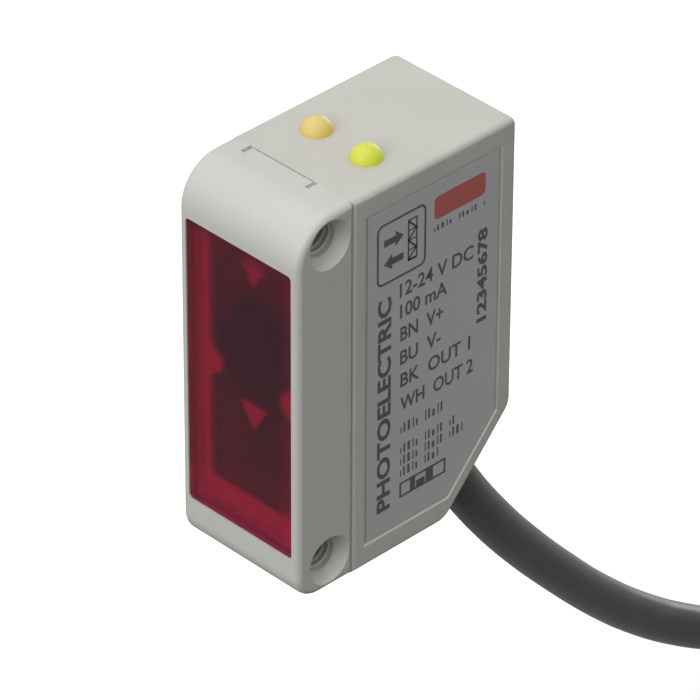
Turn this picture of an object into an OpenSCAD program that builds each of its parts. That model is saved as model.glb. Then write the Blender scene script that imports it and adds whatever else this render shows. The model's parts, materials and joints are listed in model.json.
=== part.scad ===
// Miniature rectangular photoelectric sensor with a fixed cable.
// Frame: millimetres, +Z up. The front window faces -Y and the label side faces +X.
// The origin is the midpoint between the two mounting holes, on their plane and at mid width.

/* [Body] */
// Width of the rear housing, side to side
body_w = 11.4; // [11.2:0.1:12]
// Depth from the front face to the rear face
body_d = 20.2; // [20:0.1:21]
// Height of the body
body_h = 30; // [29.6:0.2:30.8]
// Wall thickness of the rear housing
wall = 1; // [0.9:0.05:1.1]
// Depth of the front frame, from the front face to the seam
frame_d = 5; // [4.9:0.05:5.2]
// Step from the rear housing in to the narrower front frame, each side
seam_step = 0.03; // [0.02:0.01:0.1]
// Radius of the upper front corner
top_front_r = 3.3; // [2.6:0.1:3.6]
// Radius of the lower front corner
bottom_front_r = 1.9; // [1.4:0.1:2.2]
// Rounding of the front frame's long edges
frame_edge_r = 0.5; // [0.4:0.1:0.9]
// Rounding of the rear housing's long edges
rear_edge_r = 0.45; // [0.2:0.05:0.5]
// Depth of the sloped lower rear corner
slope_d = 6.15; // [5.8:0.05:6.4]
// Height of the sloped lower rear corner
slope_h = 6.75; // [6.4:0.05:7]
// Radius where the slope meets the bottom and the rear
slope_r = 1.75; // [1.4:0.05:2]

/* [Mounting holes] */
// Distance between the two mounting holes
hole_spacing = 25.4; // [25.2:0.1:25.6]
// Distance of the holes behind the front face
hole_setback = 2.9; // [2.8:0.05:3]
// Minor diameter of the M3 thread
thread_d = 2.5; // [2.4:0.05:2.6]
// Diameter of the countersink on each side
sink_d = 3.7; // [3.4:0.1:3.8]
// Depth of the countersink
sink_depth = 0.9; // [0.6:0.1:1]

/* [Front window] */
// Width of the window
window_w = 10; // [9.6:0.1:10]
// Height of the window
window_h = 22.75; // [22.4:0.05:22.8]
// Height of the window's centre above mid height
window_z = -0.2; // [-0.3:0.1:0]
// Thickness of the window
window_t = 1; // [0.8:0.1:1]
// Setback of the window behind the front face
window_setback = 0.1; // [0.05:0.05:0.15]
// Corner radius of the window
window_r = 0.3; // [0.2:0.1:0.8]

/* [Optics] */
// Distance between the two optical axes
lens_pitch = 10.4; // [10.2:0.1:10.4]
// Width of a lens
lens_w = 7; // [6.8:0.1:7]
// Height of a lens
lens_h = 9.3; // [9:0.1:9.4]
// Height of the lens dome over its plate
lens_dome = 1.4; // [1.2:0.1:1.5]

/* [Indicators] */
// Diameter of an indicator dome
dome_d = 2.25; // [2:0.05:2.4]
// Height of an indicator dome over the top face
dome_h = 1; // [0.7:0.1:1.1]
// Distance between the two indicators
dome_pitch = 4.7; // [4.4:0.1:5]
// Distance of the indicators behind the front face
dome_setback = 9.45; // [9.3:0.05:9.5]

/* [Sensitivity trimmer] */
// Diameter of the slotted trimmer head
trim_d = 3.2; // [3:0.1:3.3]
// Height of the trimmer axis above mid height
trim_z = 9.5; // [9:0.5:10]
// Width of the screwdriver slot
slot_w = 0.6; // [0.5:0.1:0.7]
// Depth of the screwdriver slot
slot_depth = 0.8; // [0.6:0.1:0.9]

/* [Label] */
// Distance of the label's front edge behind the front face
label_front = 6.4; // [6.2:0.1:6.6]
// Distance of the label's rear edge behind the front face
label_rear = 18.55; // [18.4:0.05:18.7]
// Height of the label's lower edge above the bottom
label_low = 2.05; // [1.9:0.05:2.2]
// Height of the label's upper edge above the bottom
label_high = 28.05; // [27.6:0.05:28.2]
// Thickness of the label
label_t = 0.1; // [0.08:0.01:0.12]
// Depth of the shallow recess that the label lies in
label_recess = 0.15; // [0.12:0.01:0.2]

/* [Cable] */
// Diameter of the cable sheath
cable_d = 3.3; // [3.2:0.05:3.4]
// Angle of the cable exit below the horizontal
exit_angle = 60; // [58:1:62]
// Diameter of one insulated core
core_d = 1.1; // [1:0.05:1.2]
// Length of the straight runs of the stored hank
run_l = 50; // [50:1:52]
// Turns of cable side by side in the hank
hank_across = 2; // [2:1:2]
// Turns of cable on top of each other in the hank
hank_layers = 6; // [6:1:6]

/* [Hidden] */

round_fn = 48;
small_fn = 24;
overcut = 1;
thin = 0.01;
fit_gap = 0.05;

// Main planes of the body
front_y = -hole_setback;
seam_y = front_y + frame_d;
rear_y = front_y + body_d;
bottom_z = -body_h / 2;
top_z = body_h / 2;
frame_w = body_w - 2 * seam_step;
frame_bottom = bottom_z + seam_step;
seam_rear_r = 0.4;
seam_front_r = 0.25;
inner_w = body_w - 2 * wall;
top_rear_r = 0.6;
slope_a = atan2(slope_h, slope_d);
label_cut = 4.5;
label_gap = 0.2;
label_slope = 0.1;

// Front frame details
recess_d = 1.5;
seat_w = window_w - 0.4;
seat_h = window_h - 0.55;
seat_r = 0.4;
gasket_lip = 0.1;
gasket_rear_lip = 0.2;
port_w = 8;
port_h = 21;
skirt_l = 1.4;
skirt_t = 0.7;
skirt_w = inner_w - 2 * fit_gap;
skirt_h = body_h - 2 * wall - 2 * fit_gap;
seal_w = 0.5;
seal_depth = 0.25;
seal_y = seam_y + 0.5;
tab_w = 6.4;
tab_x = -0.8;
tab_slot_w = 0.36;
tab_slot_l = 0.9;
tab_slot_depth = 0.19;
tab_gap = 0.12;
tab_gap_depth = 0.12;
hook_w = 5;
hook_h = 0.25;
hook_l = 0.35;
hook_y = seam_y + skirt_l - hook_l;
hook_gap = 0.1;

// Optics
carrier_w = port_w - 2 * fit_gap;
carrier_h = port_h - 2 * fit_gap;
mask_y = front_y + 1.7;
mask_t = 0.2;
mask_r = 5.55;
mask_waist_w = 5.6;
mask_waist_h = 2.4;
opening_w = 8.1;
opening_low = window_z - 9.4;
opening_high = window_z + 10.25;
mark_t = 0.15;
mark_w = 2.5;
mark_h = 2;
upper_mark_z = 7.35;
lower_mark_z = -4.15;
carrier_y = mask_y + mask_t + fit_gap;
carrier_l = 7.55;
pocket_l = 3.2;
polariser_y = carrier_y + 0.1;
polariser_t = 0.3;
lens_plate_y = carrier_y + 2;
lens_plate_t = 1;
lens_dome_d = 6.8;
cone_front_r = 3.2;
cone_rear_r = 1.9;
emitter_z = window_z - lens_pitch / 2;
receiver_z = window_z + lens_pitch / 2;

// Circuit boards
board_t = 0.8;
board_w = 8.4;
optics_board_y = carrier_y + carrier_l + 0.3;
optics_board_low = bottom_z + 3;
optics_board_high = bottom_z + 27.4;
main_board_y = optics_board_y + 4.8;
main_board_low = bottom_z + 10;
main_board_high = bottom_z + 27.6;
package_w = 2.4;
package_t = 0.7;
shield_w = 6;
shield_h = 7;
shield_l = 1.9;
shield_t = 0.2;
header_w = 6;
header_h = 1.4;
header_l = 1.6;
header_z = -1.7;
header_pins = 4;
header_pitch = 1.3;
pin_r = 0.25;
amplifier_w = 3;
amplifier_t = 0.9;
controller_w = 5;
controller_z = 5.5;
transistor_w = 1.3;
transistor_h = 3;
transistor_x = 2.2;
transistor_z = 2.5;
transistor_t = 1;
chip_w = 0.8;
chip_h = 1.2;
chip_t = 0.5;
chip_x = 2.9;
chip_rows = [-2.4, -0.6, 1.2];
wire_r = 0.35;
wire_pitch = 1.6;

// Indicators and trimmer
dome_y = front_y + dome_setback;
dome_r = (dome_d * dome_d / 4 + dome_h * dome_h) / (2 * dome_h);
pipe_flange_r = 1.5;
pipe_l = 2;
trim_body_w = 4.6;
trim_body_l = 2.2;
trim_body_y = main_board_y + board_t;
trim_shaft_r = 1;
trim_clearance = 0.05;
trim_head_y = trim_body_y + trim_body_l + 0.2;
trim_head_end = rear_y - 0.3;
trim_hole_r = trim_d / 2 + 0.1;
trim_boss_r = 3;
trim_boss_y = rear_y - 2.2;
trim_seal_r = 0.25;
trim_seal_y = rear_y - 1.4;
trim_seal_ring_r = trim_d / 2 + 0.1 + trim_seal_r;

// Cable entry on the middle of the slope
cable_r = cable_d / 2;
exit_y = rear_y - slope_d / 2;
exit_z = bottom_z + slope_h / 2;
grommet_r = 2.3;
grommet_out = 0.9;
grommet_in = 2.4;
grommet_flange_r = 3;
grommet_flange_t = 0.7;
boss_r = 3.3;
tail_in = 5.4;
clamp_r = 2.5;
clamp_at = 4.4;
clamp_l = 0.9;

// Stored hank of cable: a racetrack of turns lying on the resting surface
tie_t = 0.5;
hank_floor = -52.6;
hank_x = 11;
hank_y = 63;
fold_r = 9.9;
hank_outer_r = fold_r + (hank_across - 0.5) * cable_d;
hank_inner_r = fold_r - cable_r;
hank_h = hank_layers * cable_d;
tie_w = 2.5;
tie_place = 0.5;
lane_x = hank_x - fold_r - cable_d;

// Centre line of the free cable, from the grommet to the first turn of the hank
cable_route = [
  [0, 14.7, -12.4], [0, 16.6, -15.7], [0, 18.5, -18.9], [0, 21.3, -22.9], [0, 24.5, -26.9],
  [0, 28.8, -31.7], [0, 33.1, -36.1], [0, 37.5, -40], [-0.1, 42, -43.4], [-0.4, 46.6, -46.4],
  [-0.9, 51, -48.7], [-1.5, 55.4, -50.2], [-2, 59.5, -50.8], [-2.2, 62, -50.95],
  [-2.2, 63, -50.95]
];
// Centre line of the last stretch, from the hank's inner turn to the end of the sheath
end_route = [
  [1.1, 66, -47.7], [1.4, 70, -47.9], [2.4, 74, -48.5], [4, 78, -49.4], [5.8, 82, -50.3],
  [7.2, 86, -50.8], [7.9, 89, -50.95], [8, 91, -50.95], [8, 92, -50.95]
];
// The four cores leave the sheath as a diamond, fan out and settle on the surface
core_start = [8, 92.02, -50.95];
core_bundle = [[-0.8, 0], [0, -0.8], [0, 0.8], [0.8, 0]];
core_fan = [-1.9, 0.5, 2.7, 5.1];
core_wave = [0.3, -0.2, 0.3, -0.3];
core_l = 22;
core_steps = 6;
bare_l = 3.5;
bare_d = 0.6;

// A straight run of the outline of a body part, laid in the YZ plane and centred across X
module slab(width) {
  rotate([90, 0, 90]) linear_extrude(height = width, center = true) children();
}

// A block given by its width, its range along Y and its range along Z, centred across X
module block(width, y0, y1, z0, z1) {
  translate([-width / 2, y0, z0]) cube([width, y1 - y0, z1 - z0]);
}

// A rectangle with round corners, as points
function round_rect(w, h, r) = [
  for (q = [0 : 3], i = [0 : 6])
    let (a = 90 * q + 15 * i, sx = (q == 0 || q == 3) ? 1 : -1, sy = q < 2 ? 1 : -1)
      [sx * (w / 2 - r) + r * cos(a), sy * (h / 2 - r) + r * sin(a)]
];

// A plate with round corners, facing -Y, from y0 to y1
module plate(w, h, r, y0, y1, z) {
  translate([0, y1, z]) rotate([90, 0, 0]) linear_extrude(height = y1 - y0)
    polygon(round_rect(w, h, r));
}

// A cylinder along Y from y0 to y1 at height z
module y_cylinder(r0, r1, y0, y1, z, fn = round_fn) {
  translate([0, y0, z]) rotate([-90, 0, 0]) cylinder(h = y1 - y0, r1 = r0, r2 = r1, $fn = fn);
}

// Outline of the rear housing, drawn in by inset on its free edges
function arc_out(cy, cz, r, h0, h1, n) = [
  for (i = [0 : n]) let (h = h0 + (h1 - h0) * i / n) [cy + r * sin(h), cz - r * cos(h)]
];
function rear_outline(inset) = concat(
  [[seam_y, bottom_z + inset]],
  arc_out(rear_y - slope_d - slope_r * tan(slope_a / 2), bottom_z + slope_r,
    slope_r - inset, 0, slope_a, 8),
  arc_out(rear_y - slope_r, bottom_z + slope_h + slope_r * tan(45 - slope_a / 2),
    slope_r - inset, slope_a, 90, 8),
  arc_out(rear_y - top_rear_r, top_z - top_rear_r, top_rear_r - inset, 90, 180, 6),
  [[seam_y, top_z - inset]]
);
function cavity_outline() = concat(
  [[seam_y - overcut, bottom_z + wall]],
  arc_out(rear_y - slope_d - slope_r * tan(slope_a / 2), bottom_z + slope_r,
    slope_r - wall, 0, slope_a, 6),
  arc_out(rear_y - slope_r, bottom_z + slope_h + slope_r * tan(45 - slope_a / 2),
    slope_r - wall, slope_a, 90, 6),
  [[rear_y - wall, top_z - wall], [seam_y - overcut, top_z - wall]]
);

// Outline of the front frame, drawn in by inset on its free edges
function arc_front(cy, cz, r, h0, h1, n) = [
  for (i = [0 : n]) let (h = h0 + (h1 - h0) * i / n) [cy - r * sin(h), cz - r * cos(h)]
];
function frame_outline(inset) = concat(
  [[seam_y, frame_bottom + inset]],
  arc_front(front_y + bottom_front_r, frame_bottom + bottom_front_r,
    bottom_front_r - inset, 0, 90, 8),
  arc_front(front_y + top_front_r, top_z - top_front_r, top_front_r - inset, 90, 180, 12),
  [[seam_y, top_z - inset]]
);

// Outer body of each shell, with its long edges rounded
module rear_solid() {
  hull() for (a = [0 : 22.5 : 90])
    slab(body_w - 2 * rear_edge_r * (1 - cos(a))) polygon(rear_outline(rear_edge_r * (1 - sin(a))));
}
module frame_solid() {
  hull() for (a = [0 : 22.5 : 90])
    slab(frame_w - 2 * frame_edge_r * (1 - cos(a)))
      polygon(frame_outline(frame_edge_r * (1 - sin(a))));
}

// Moves a child so that its +Z axis runs out of the cable exit
module at_exit() {
  translate([0, exit_y, exit_z]) rotate([-(90 + exit_angle), 0, 0]) children();
}

// Outline of the label in the YZ plane, drawn in by inset
module label_outline(inset) {
  y0 = front_y + label_front + inset;
  y1 = front_y + label_rear - inset;
  z0 = bottom_z + label_low + inset;
  z1 = bottom_z + label_high - inset;
  corner_y = front_y + label_rear - label_cut - inset * tan(slope_a / 2);
  polygon([
    [y0, z0], [corner_y, z0], [y1, z0 + (y1 - corner_y) * tan(slope_a)], [y1, z1], [y0, z1]
  ]);
}

module rear_housing() color("gainsboro") difference() {
  union() {
    difference() {
      rear_solid();
      slab(inner_w) polygon(cavity_outline());
    }
    intersection() {
      rear_solid();
      at_exit() translate([0, 0, -grommet_in + fit_gap])
        cylinder(h = grommet_in + 2, r = boss_r, $fn = round_fn);
    }
    y_cylinder(trim_boss_r, trim_boss_r, trim_boss_y, rear_y - wall / 2, trim_z);
  }
  at_exit() translate([0, 0, -grommet_in - overcut])
    cylinder(h = grommet_in + 2 * overcut + 2, r = grommet_r, $fn = round_fn);
  y_cylinder(trim_hole_r, trim_hole_r, trim_boss_y - overcut, rear_y + overcut, trim_z);
  translate([0, trim_seal_y, trim_z]) rotate([-90, 0, 0])
    cylinder(h = 2 * trim_seal_r + fit_gap, r = trim_seal_ring_r + trim_seal_r, center = true,
      $fn = round_fn);
  for (side = [-1, 1]) translate([side * dome_pitch / 2, dome_y, top_z - wall - overcut])
    cylinder(h = wall + 2 * overcut, d = dome_d, $fn = round_fn);
  hull() {
    translate([body_w / 2 - label_recess + thin / 2, 0, 0]) slab(thin) label_outline(-label_gap);
    translate([body_w / 2 + thin / 2, 0, 0]) slab(thin) label_outline(-label_gap - label_slope);
  }
  seam_groove(body_w);
  block(hook_w + 2 * hook_gap, hook_y - hook_gap, hook_y + hook_l + hook_gap,
    top_z - wall - overcut, top_z - wall + hook_h + hook_gap);
}

// What the rounded edges at the seam leave free on the label side, for a part of the given width
module seam_groove(width)
  translate([width / 2, seam_y, -body_h / 2]) linear_extrude(height = body_h) polygon(concat(
    [[overcut, seam_rear_r]],
    [for (a = [0 : 22.5 : 90]) [seam_rear_r * (cos(a) - 1), seam_rear_r * (1 - sin(a))]],
    [for (a = [90 : -22.5 : 0]) [seam_front_r * (cos(a) - 1), seam_front_r * (sin(a) - 1)]],
    [[overcut, -seam_front_r]]
  ));

// Groove for the seal round the front frame's skirt
module seal_groove() difference() {
  block(body_w, seal_y, seal_y + seal_w, -body_h / 2, body_h / 2);
  block(skirt_w - 2 * seal_depth, seam_y, seam_y + skirt_l, -skirt_h / 2 + seal_depth,
    skirt_h / 2 - seal_depth);
}

module front_frame() color("whitesmoke") difference() {
  union() {
    frame_solid();
    difference() {
      block(skirt_w, seam_y - 0.5, seam_y + skirt_l, -skirt_h / 2, skirt_h / 2);
      seal_groove();
    }
    block(hook_w, hook_y, hook_y + hook_l, 0, skirt_h / 2 + hook_h);
  }
  block(skirt_w - 2 * (skirt_t + seal_depth), seam_y - 0.8, seam_y + skirt_l + overcut,
    -skirt_h / 2 + skirt_t + seal_depth, skirt_h / 2 - skirt_t - seal_depth);
  plate(window_w, window_h, window_r, front_y - overcut, front_y + recess_d, window_z);
  plate(seat_w, seat_h, seat_r, front_y, mask_y + mask_t, window_z);
  block(port_w, front_y, seam_y + skirt_l + overcut, window_z - port_h / 2, window_z + port_h / 2);
  for (z = [-1, 1]) translate([0, 0, z * hole_spacing / 2]) rotate([0, 90, 0]) {
    cylinder(h = body_w + overcut, d = thread_d, center = true, $fn = round_fn);
    for (flip = [0, 180]) rotate([flip, 0, 0]) translate([0, 0, frame_w / 2 - sink_depth])
      cylinder(h = sink_depth, d1 = thread_d, d2 = sink_d, $fn = round_fn);
  }
  for (side = [-1, 1]) translate([tab_x + side * (tab_w - tab_slot_w) / 2, 0, 0])
    block(tab_slot_w, seam_y - tab_slot_l, seam_y, top_z - tab_slot_depth, top_z + overcut);
  translate([tab_x, 0, 0])
    block(tab_w, seam_y - tab_gap, seam_y, top_z - tab_gap_depth, top_z + overcut);
  seam_groove(frame_w);
}

module front_window() color([0.55, 0.02, 0.1, 0.8])
  plate(window_w - 2 * fit_gap, window_h - 2 * fit_gap, window_r - fit_gap,
    front_y + window_setback, front_y + window_setback + window_t, window_z);

// Seal between the window and the mask, with an inner wall that slopes inwards to the rear
module window_gasket() color("lightgray") difference() {
  union() {
    plate(window_w - 2 * fit_gap, window_h - 2 * fit_gap, window_r - fit_gap,
      front_y + window_setback + window_t, front_y + recess_d, window_z);
    plate(seat_w - 2 * fit_gap, seat_h - 2 * fit_gap, seat_r - fit_gap,
      front_y + recess_d - 0.1, mask_y, window_z);
  }
  hull() {
    plate(window_w - 2 * (fit_gap + gasket_lip), window_h - 2 * (fit_gap + gasket_lip), window_r,
      front_y, front_y + window_setback + window_t, window_z);
    plate(seat_w - 2 * (fit_gap + gasket_rear_lip), seat_h - 2 * (fit_gap + gasket_rear_lip),
      window_r, mask_y, mask_y + thin, window_z);
  }
}

module seam_seal() color("black") difference() {
  block(inner_w - 0.02, seal_y + 0.02, seal_y + seal_w - 0.02,
    -skirt_h / 2 - fit_gap + 0.01, skirt_h / 2 + fit_gap - 0.01);
  block(skirt_w - 2 * seal_depth + 0.02, seam_y, seam_y + 2,
    -skirt_h / 2 + seal_depth - 0.01, skirt_h / 2 - seal_depth + 0.01);
}

// Pale plate seated in the frame, with one waisted opening for the two lenses
module optics_mask() color("lightgray") difference() {
  plate(seat_w - 2 * fit_gap, seat_h - 2 * fit_gap, seat_r - fit_gap, mask_y, mask_y + mask_t, window_z);
  intersection() {
    union() {
      y_cylinder(mask_r, mask_r, mask_y - overcut, mask_y + overcut, emitter_z);
      y_cylinder(mask_r, mask_r, mask_y - overcut, mask_y + overcut, receiver_z);
      block(mask_waist_w, mask_y - overcut, mask_y + overcut, window_z - mask_waist_h / 2,
        window_z + mask_waist_h / 2);
      block(opening_w, mask_y - overcut, mask_y + overcut, receiver_z, opening_high);
    }
    block(opening_w, mask_y - overcut, mask_y + overcut, opening_low, opening_high);
  }
}

// Two flat triangles pointing down, each with its tip at height z
module axis_marks() color("lightgray") {
  for (z = [upper_mark_z, lower_mark_z]) translate([0, polariser_y, z]) rotate([90, 0, 0])
    linear_extrude(height = mark_t) polygon([[0, 0], [mark_w / 2, mark_h], [-mark_w / 2, mark_h]]);
}

// One lens or filter position of the optics carrier
module carrier_chamber(z) {
  block(lens_w + 0.1, carrier_y - overcut, carrier_y + pocket_l, z - lens_h / 2 - 0.05,
    z + lens_h / 2 + 0.05);
  y_cylinder(cone_front_r, cone_rear_r, carrier_y + pocket_l - 0.01,
    carrier_y + carrier_l + 0.01, z);
}

module optics_carrier() color([0.1, 0.1, 0.1]) difference() {
  block(carrier_w, carrier_y, carrier_y + carrier_l, window_z - carrier_h / 2,
    window_z + carrier_h / 2);
  carrier_chamber(emitter_z);
  carrier_chamber(receiver_z);
}

// Plano-convex lens with a rectangular rim, domed towards the window
module lens(z) {
  dome_radius = (lens_dome_d * lens_dome_d / 4 + lens_dome * lens_dome) / (2 * lens_dome);
  block(lens_w, lens_plate_y, lens_plate_y + lens_plate_t, z - lens_h / 2, z + lens_h / 2);
  intersection() {
    translate([0, lens_plate_y - lens_dome + dome_radius, z]) sphere(r = dome_radius, $fn = round_fn);
    y_cylinder(lens_dome_d, lens_dome_d, lens_plate_y - lens_dome - 1, lens_plate_y + 0.2, z);
  }
}
module emitter_lens() color([0.9, 0.9, 0.95, 0.5]) lens(emitter_z);
module receiver_lens() color([0.9, 0.9, 0.95, 0.5]) lens(receiver_z);

// Polarising filter in front of a lens
module polariser(z) block(lens_w - 0.1, polariser_y, polariser_y + polariser_t,
  z - lens_h / 2 + 0.05, z + lens_h / 2 - 0.05);
module emitter_polariser() color([0.3, 0.3, 0.35, 0.6]) polariser(emitter_z);
module receiver_polariser() color([0.35, 0.3, 0.3, 0.6]) polariser(receiver_z);

// A square surface-mount package on the front of the optics board
module front_package(z) block(package_w, optics_board_y - package_t, optics_board_y,
  z - package_w / 2, z + package_w / 2);
module emitter_led() color([0.95, 0.6, 0.6]) union() {
  front_package(emitter_z);
  intersection() {
    translate([0, optics_board_y - package_t + 0.2, emitter_z]) sphere(r = 0.9, $fn = small_fn);
    block(package_w, optics_board_y - 2, optics_board_y - 0.2, emitter_z - 1, emitter_z + 1);
  }
}
module receiver_photodiode() color([0.15, 0.15, 0.2]) front_package(receiver_z);

module optics_board() color("darkgreen")
  block(board_w, optics_board_y, optics_board_y + board_t, optics_board_low, optics_board_high);

module receiver_amplifier() color([0.12, 0.12, 0.12])
  block(amplifier_w, optics_board_y + board_t, optics_board_y + board_t + amplifier_t,
    receiver_z - amplifier_w / 2, receiver_z + amplifier_w / 2);

module receiver_shield() color("silver") difference() {
  block(shield_w, optics_board_y + board_t, optics_board_y + board_t + shield_l,
    receiver_z - shield_h / 2, receiver_z + shield_h / 2);
  block(shield_w - 2 * shield_t, optics_board_y, optics_board_y + board_t + shield_l - shield_t,
    receiver_z - shield_h / 2 + shield_t, receiver_z + shield_h / 2 - shield_t);
}

module main_board() color("green")
  block(board_w, main_board_y, main_board_y + board_t, main_board_low, main_board_high);

module controller_chip() color([0.12, 0.12, 0.12])
  block(controller_w, main_board_y - amplifier_t, main_board_y,
    controller_z - controller_w / 2, controller_z + controller_w / 2);

module output_transistors() color([0.15, 0.15, 0.15]) for (side = [-1, 1])
  translate([side * transistor_x, 0, 0])
    block(transistor_w, main_board_y + board_t, main_board_y + board_t + transistor_t,
      transistor_z - transistor_h / 2, transistor_z + transistor_h / 2);

module board_passives() color("tan") for (side = [-1, 1], z = chip_rows)
  translate([side * chip_x, 0, z]) block(chip_w, main_board_y - chip_t, main_board_y, 0, chip_h);

module board_connector() color("gold") {
  block(header_w, optics_board_y + board_t, optics_board_y + board_t + header_l,
    header_z - header_h / 2, header_z + header_h / 2);
  for (i = [0 : header_pins - 1]) translate([(i - (header_pins - 1) / 2) * header_pitch, 0, 0])
    y_cylinder(pin_r, pin_r, optics_board_y + board_t + header_l, main_board_y, header_z, small_fn);
}

module indicator_leds() color([0.9, 0.9, 0.85]) for (side = [-1, 1])
  translate([side * dome_pitch / 2, 0, 0])
    block(1.6, optics_board_y - 0.8, optics_board_y, optics_board_high - 0.9, optics_board_high - 0.1);

// Light pipe: a dome over the top face, a neck through the wall and a flange under it
module light_pipe(side) translate([side * dome_pitch / 2, dome_y, top_z]) {
  intersection() {
    translate([0, 0, dome_h - dome_r]) sphere(r = dome_r, $fn = round_fn);
    cylinder(h = 3, r = 3, $fn = round_fn);
  }
  translate([0, 0, -pipe_l]) cylinder(h = pipe_l, d = dome_d - 0.04, $fn = round_fn);
  translate([0, 0, -wall - 0.6]) cylinder(h = 0.55, r = pipe_flange_r, $fn = round_fn);
}
module amber_light_pipe() color([0.95, 0.75, 0.3]) light_pipe(-1);
module green_light_pipe() color([0.85, 0.9, 0.2]) light_pipe(1);

module trimmer_body() color("steelblue") difference() {
  block(trim_body_w, trim_body_y, trim_body_y + trim_body_l, trim_z - trim_body_w / 2,
    trim_z + trim_body_w / 2);
  y_cylinder(trim_shaft_r + trim_clearance, trim_shaft_r + trim_clearance, trim_body_y + 0.3,
    trim_body_y + trim_body_l + overcut, trim_z);
}

module trimmer_rotor() color("ivory") difference() {
  union() {
    y_cylinder(trim_shaft_r, trim_shaft_r, trim_body_y + 0.4, trim_head_y + 0.1, trim_z);
    y_cylinder(trim_d / 2, trim_d / 2, trim_head_y, trim_head_end, trim_z);
  }
  block(slot_w, trim_head_end - slot_depth, trim_head_end + overcut, trim_z - trim_d, trim_z + trim_d);
}

module trimmer_seal() color("black")
  translate([0, trim_seal_y, trim_z]) rotate([-90, 0, 0]) rotate_extrude($fn = round_fn)
    translate([trim_seal_ring_r, 0]) circle(r = trim_seal_r - 0.01, $fn = small_fn);

module cable_grommet() color([0.2, 0.2, 0.2]) at_exit() difference() {
  union() {
    translate([0, 0, -grommet_in])
      cylinder(h = grommet_in + grommet_out, r = grommet_r - 0.01, $fn = round_fn);
    translate([0, 0, -grommet_in - grommet_flange_t])
      cylinder(h = grommet_flange_t, r = grommet_flange_r, $fn = round_fn);
  }
  translate([0, 0, -tail_in]) cylinder(h = tail_in + 2, r = cable_r + 0.01, $fn = round_fn);
}

module cable_clamp() color("silver") at_exit() translate([0, 0, -clamp_at]) difference() {
  cylinder(h = clamp_l, r = clamp_r, $fn = round_fn);
  translate([0, 0, -overcut]) cylinder(h = clamp_l + 2 * overcut, r = cable_r + 0.01, $fn = round_fn);
}

module cable_tail() color([0.25, 0.25, 0.24]) at_exit() translate([0, 0, -tail_in])
  cylinder(h = tail_in + grommet_out, r = cable_r, $fn = round_fn);

// A tube swept along a list of points. ref is a direction that the tube never runs along.
function unit(v) = v / norm(v);
function heading(p, i) = unit(p[min(i + 1, len(p) - 1)] - p[max(i - 1, 0)]);
function ring(p, i, r, sides, ref) =
  let (t = heading(p, i), a = unit(cross(ref, t)), b = cross(t, a))
    [for (k = [0 : sides - 1]) p[i] + r * (a * cos(360 * k / sides) + b * sin(360 * k / sides))];
function tube_points(p, r, sides, ref) = [for (i = [0 : len(p) - 1]) each ring(p, i, r, sides, ref)];
function tube_faces(n, s) = concat(
  [[for (k = [s - 1 : -1 : 0]) k]],
  [[for (k = [0 : s - 1]) (n - 1) * s + k]],
  [for (i = [0 : n - 2], k = [0 : s - 1]) [i * s + k, i * s + (k + 1) % s, (i + 1) * s + k]],
  [for (i = [0 : n - 2], k = [0 : s - 1])
    [i * s + (k + 1) % s, (i + 1) * s + (k + 1) % s, (i + 1) * s + k]]
);
module tube(p, r, sides, ref) polyhedron(tube_points(p, r, sides, ref), tube_faces(len(p), sides));

// Four wires from the cable tail up to the main board
module inner_wires() color("peru") for (i = [0 : 3]) {
  inward = [0, -cos(exit_angle), sin(exit_angle)];
  start = [(i - 1.5) * 2 * wire_r * 1.05, exit_y, exit_z] + (tail_in + 0.02) * inward;
  x = (i - 1.5) * wire_pitch;
  tube([
    start, start + 0.6 * inward, [x, main_board_y - 1.5, main_board_low + 0.6],
    [x, main_board_y - 1.1, main_board_low + 1.3], [x, main_board_y - 0.02, main_board_low + 1.6]
  ], wire_r, 8, [1, 0, 0]);
}

module label() color("silver") translate([body_w / 2 - label_recess + label_t / 2, 0, 0])
  slab(label_t) label_outline(0);

module cable() color([0.25, 0.25, 0.24]) tube(cable_route, cable_r, 8, [1, 0, 0]);

// Racetrack outline of the hank, at a given half width of its round ends
module racetrack(r) {
  for (end = [0, 1]) translate([hank_x, hank_y + end * run_l]) circle(r = r, $fn = round_fn);
  translate([hank_x - r, hank_y]) square([2 * r, run_l]);
}

module cable_hank() color([0.25, 0.25, 0.24]) difference() {
  translate([0, 0, hank_floor]) linear_extrude(height = hank_h) difference() {
    racetrack(hank_outer_r);
    racetrack(hank_inner_r);
  }
  translate([lane_x - cable_d, hank_y - 2 * cable_d - 10, hank_floor - overcut])
    cube([2 * cable_d, 2 * cable_d + 10, cable_d + 2 + overcut]);
}

module cable_end() color([0.25, 0.25, 0.24]) tube(end_route, cable_r, 8, [0, 0, 1]);

// A flat tie round each straight bundle of the hank
module hank_ties() color([0.1, 0.1, 0.1]) for (side = [-1, 1])
  translate([hank_x + side * (hank_inner_r + hank_outer_r) / 2, hank_y + tie_place * run_l, hank_floor])
    difference() {
      bundle = hank_outer_r - hank_inner_r;
      translate([-bundle / 2 - tie_t, -tie_w / 2, -tie_t])
        cube([bundle + 2 * tie_t, tie_w, hank_h + 2 * tie_t]);
      translate([-bundle / 2, -tie_w, 0]) cube([bundle, 2 * tie_w, hank_h]);
    }

// Centre line of one core
function core_line(i) = [
  for (k = [0 : core_steps])
    let (s = k / core_steps, ease = s * s * (3 - 2 * s))
      core_start + [
        core_bundle[i][0] * (1 - ease) + core_fan[i] * ease + core_wave[i] * s * sin(360 * s),
        s * core_l,
        core_bundle[i][1] * (1 - ease) + (core_d / 2 - cable_r) * ease
      ]
];
module core(i) tube(core_line(i), core_d / 2, 8, [0, 0, 1]);
module core_brown() color([0.35, 0.2, 0.1]) core(0);
module core_blue() color([0.1, 0.25, 0.6]) core(1);
module core_black() color([0.08, 0.08, 0.08]) core(2);
module core_white() color([0.9, 0.9, 0.88]) core(3);

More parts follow.
